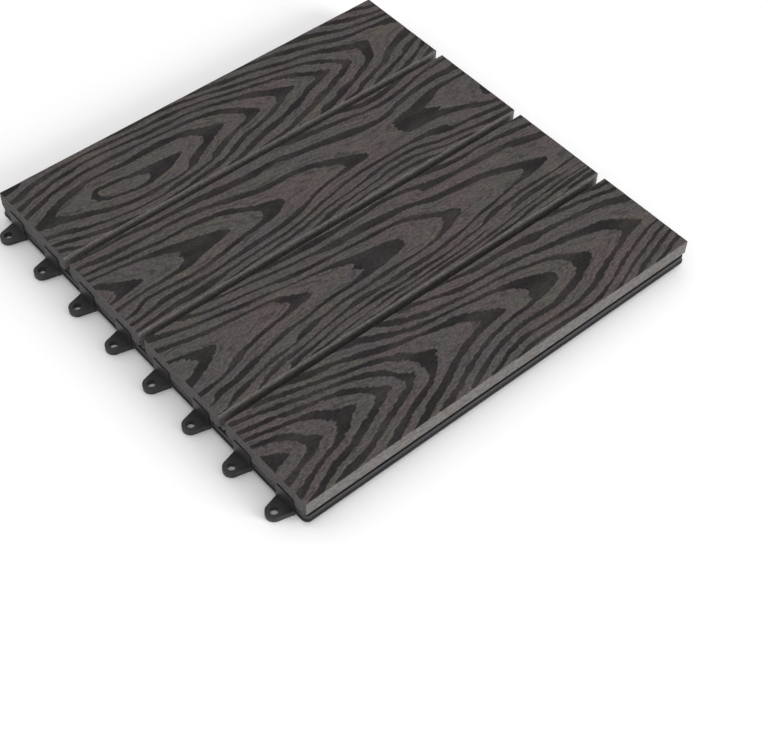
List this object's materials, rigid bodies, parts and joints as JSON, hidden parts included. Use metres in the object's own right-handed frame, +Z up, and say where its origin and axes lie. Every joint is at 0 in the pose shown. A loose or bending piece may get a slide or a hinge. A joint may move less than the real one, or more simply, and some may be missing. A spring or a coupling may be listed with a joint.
{
  "type": "interlocking deck tile",
  "caption": "Square outdoor floor tile: four parallel wood-grain slats on a moulded lattice base, with loops on two sides and pegs under the other two.",
  "frame": {"origin": "middle of the underside, between the four rims, on the plane that the feet stand on", "axes": "+X along the slats, away from the side with end loops; +Y across the slats, towards the side with edge loops; +Z up"},
  "size_m": [0.3119, 0.3119, 0.022],
  "materials": {
    "base_plastic": "moulded black polypropylene, satin, slightly worn shine on the edges",
    "composite_wood": "dark charcoal wood-plastic composite, deeply embossed cathedral grain on top, brushed sides",
    "screw_steel": "zinc plated"
  },
  "bodies": {
    "root": {"base": "base_plastic", "board_1": "composite_wood", "board_2": "composite_wood", "board_3": "composite_wood", "board_4": "composite_wood", "board_screws": "screw_steel"}
  },
  "joints": []
}
